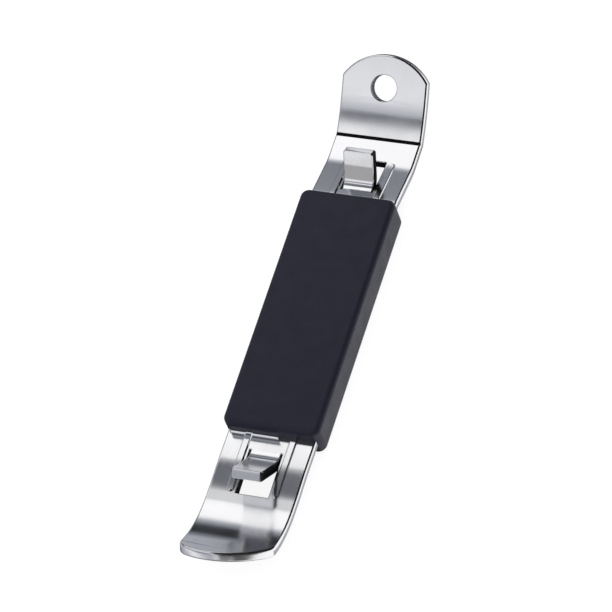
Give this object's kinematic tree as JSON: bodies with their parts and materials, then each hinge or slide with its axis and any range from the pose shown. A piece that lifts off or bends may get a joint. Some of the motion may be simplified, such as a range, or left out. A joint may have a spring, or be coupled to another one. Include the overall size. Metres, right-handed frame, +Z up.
{
  "type": "two-ended bottle and can opener",
  "caption": "Flat lever opener: a bent polished steel strip with a raised tongue at each end, a hanging hole in one end plate, a prying lip at the other, and a black grip sleeve.",
  "frame": {"origin": "centre of the grip sleeve's flat underside, which the opener lies on", "axes": "+Y along the strip towards the end with the hanging hole, +X across the strip, +Z up towards the side that the tongues rise from"},
  "size_m": [0.0232, 0.1356, 0.014],
  "materials": {
    "polished_steel": "bright polished steel with faint lengthwise hairlines",
    "black_grip": "soft satin black with a fine even grain"
  },
  "bodies": {
    "root": {"steel_body": "polished_steel", "grip_sleeve": "black_grip"}
  },
  "joints": []
}
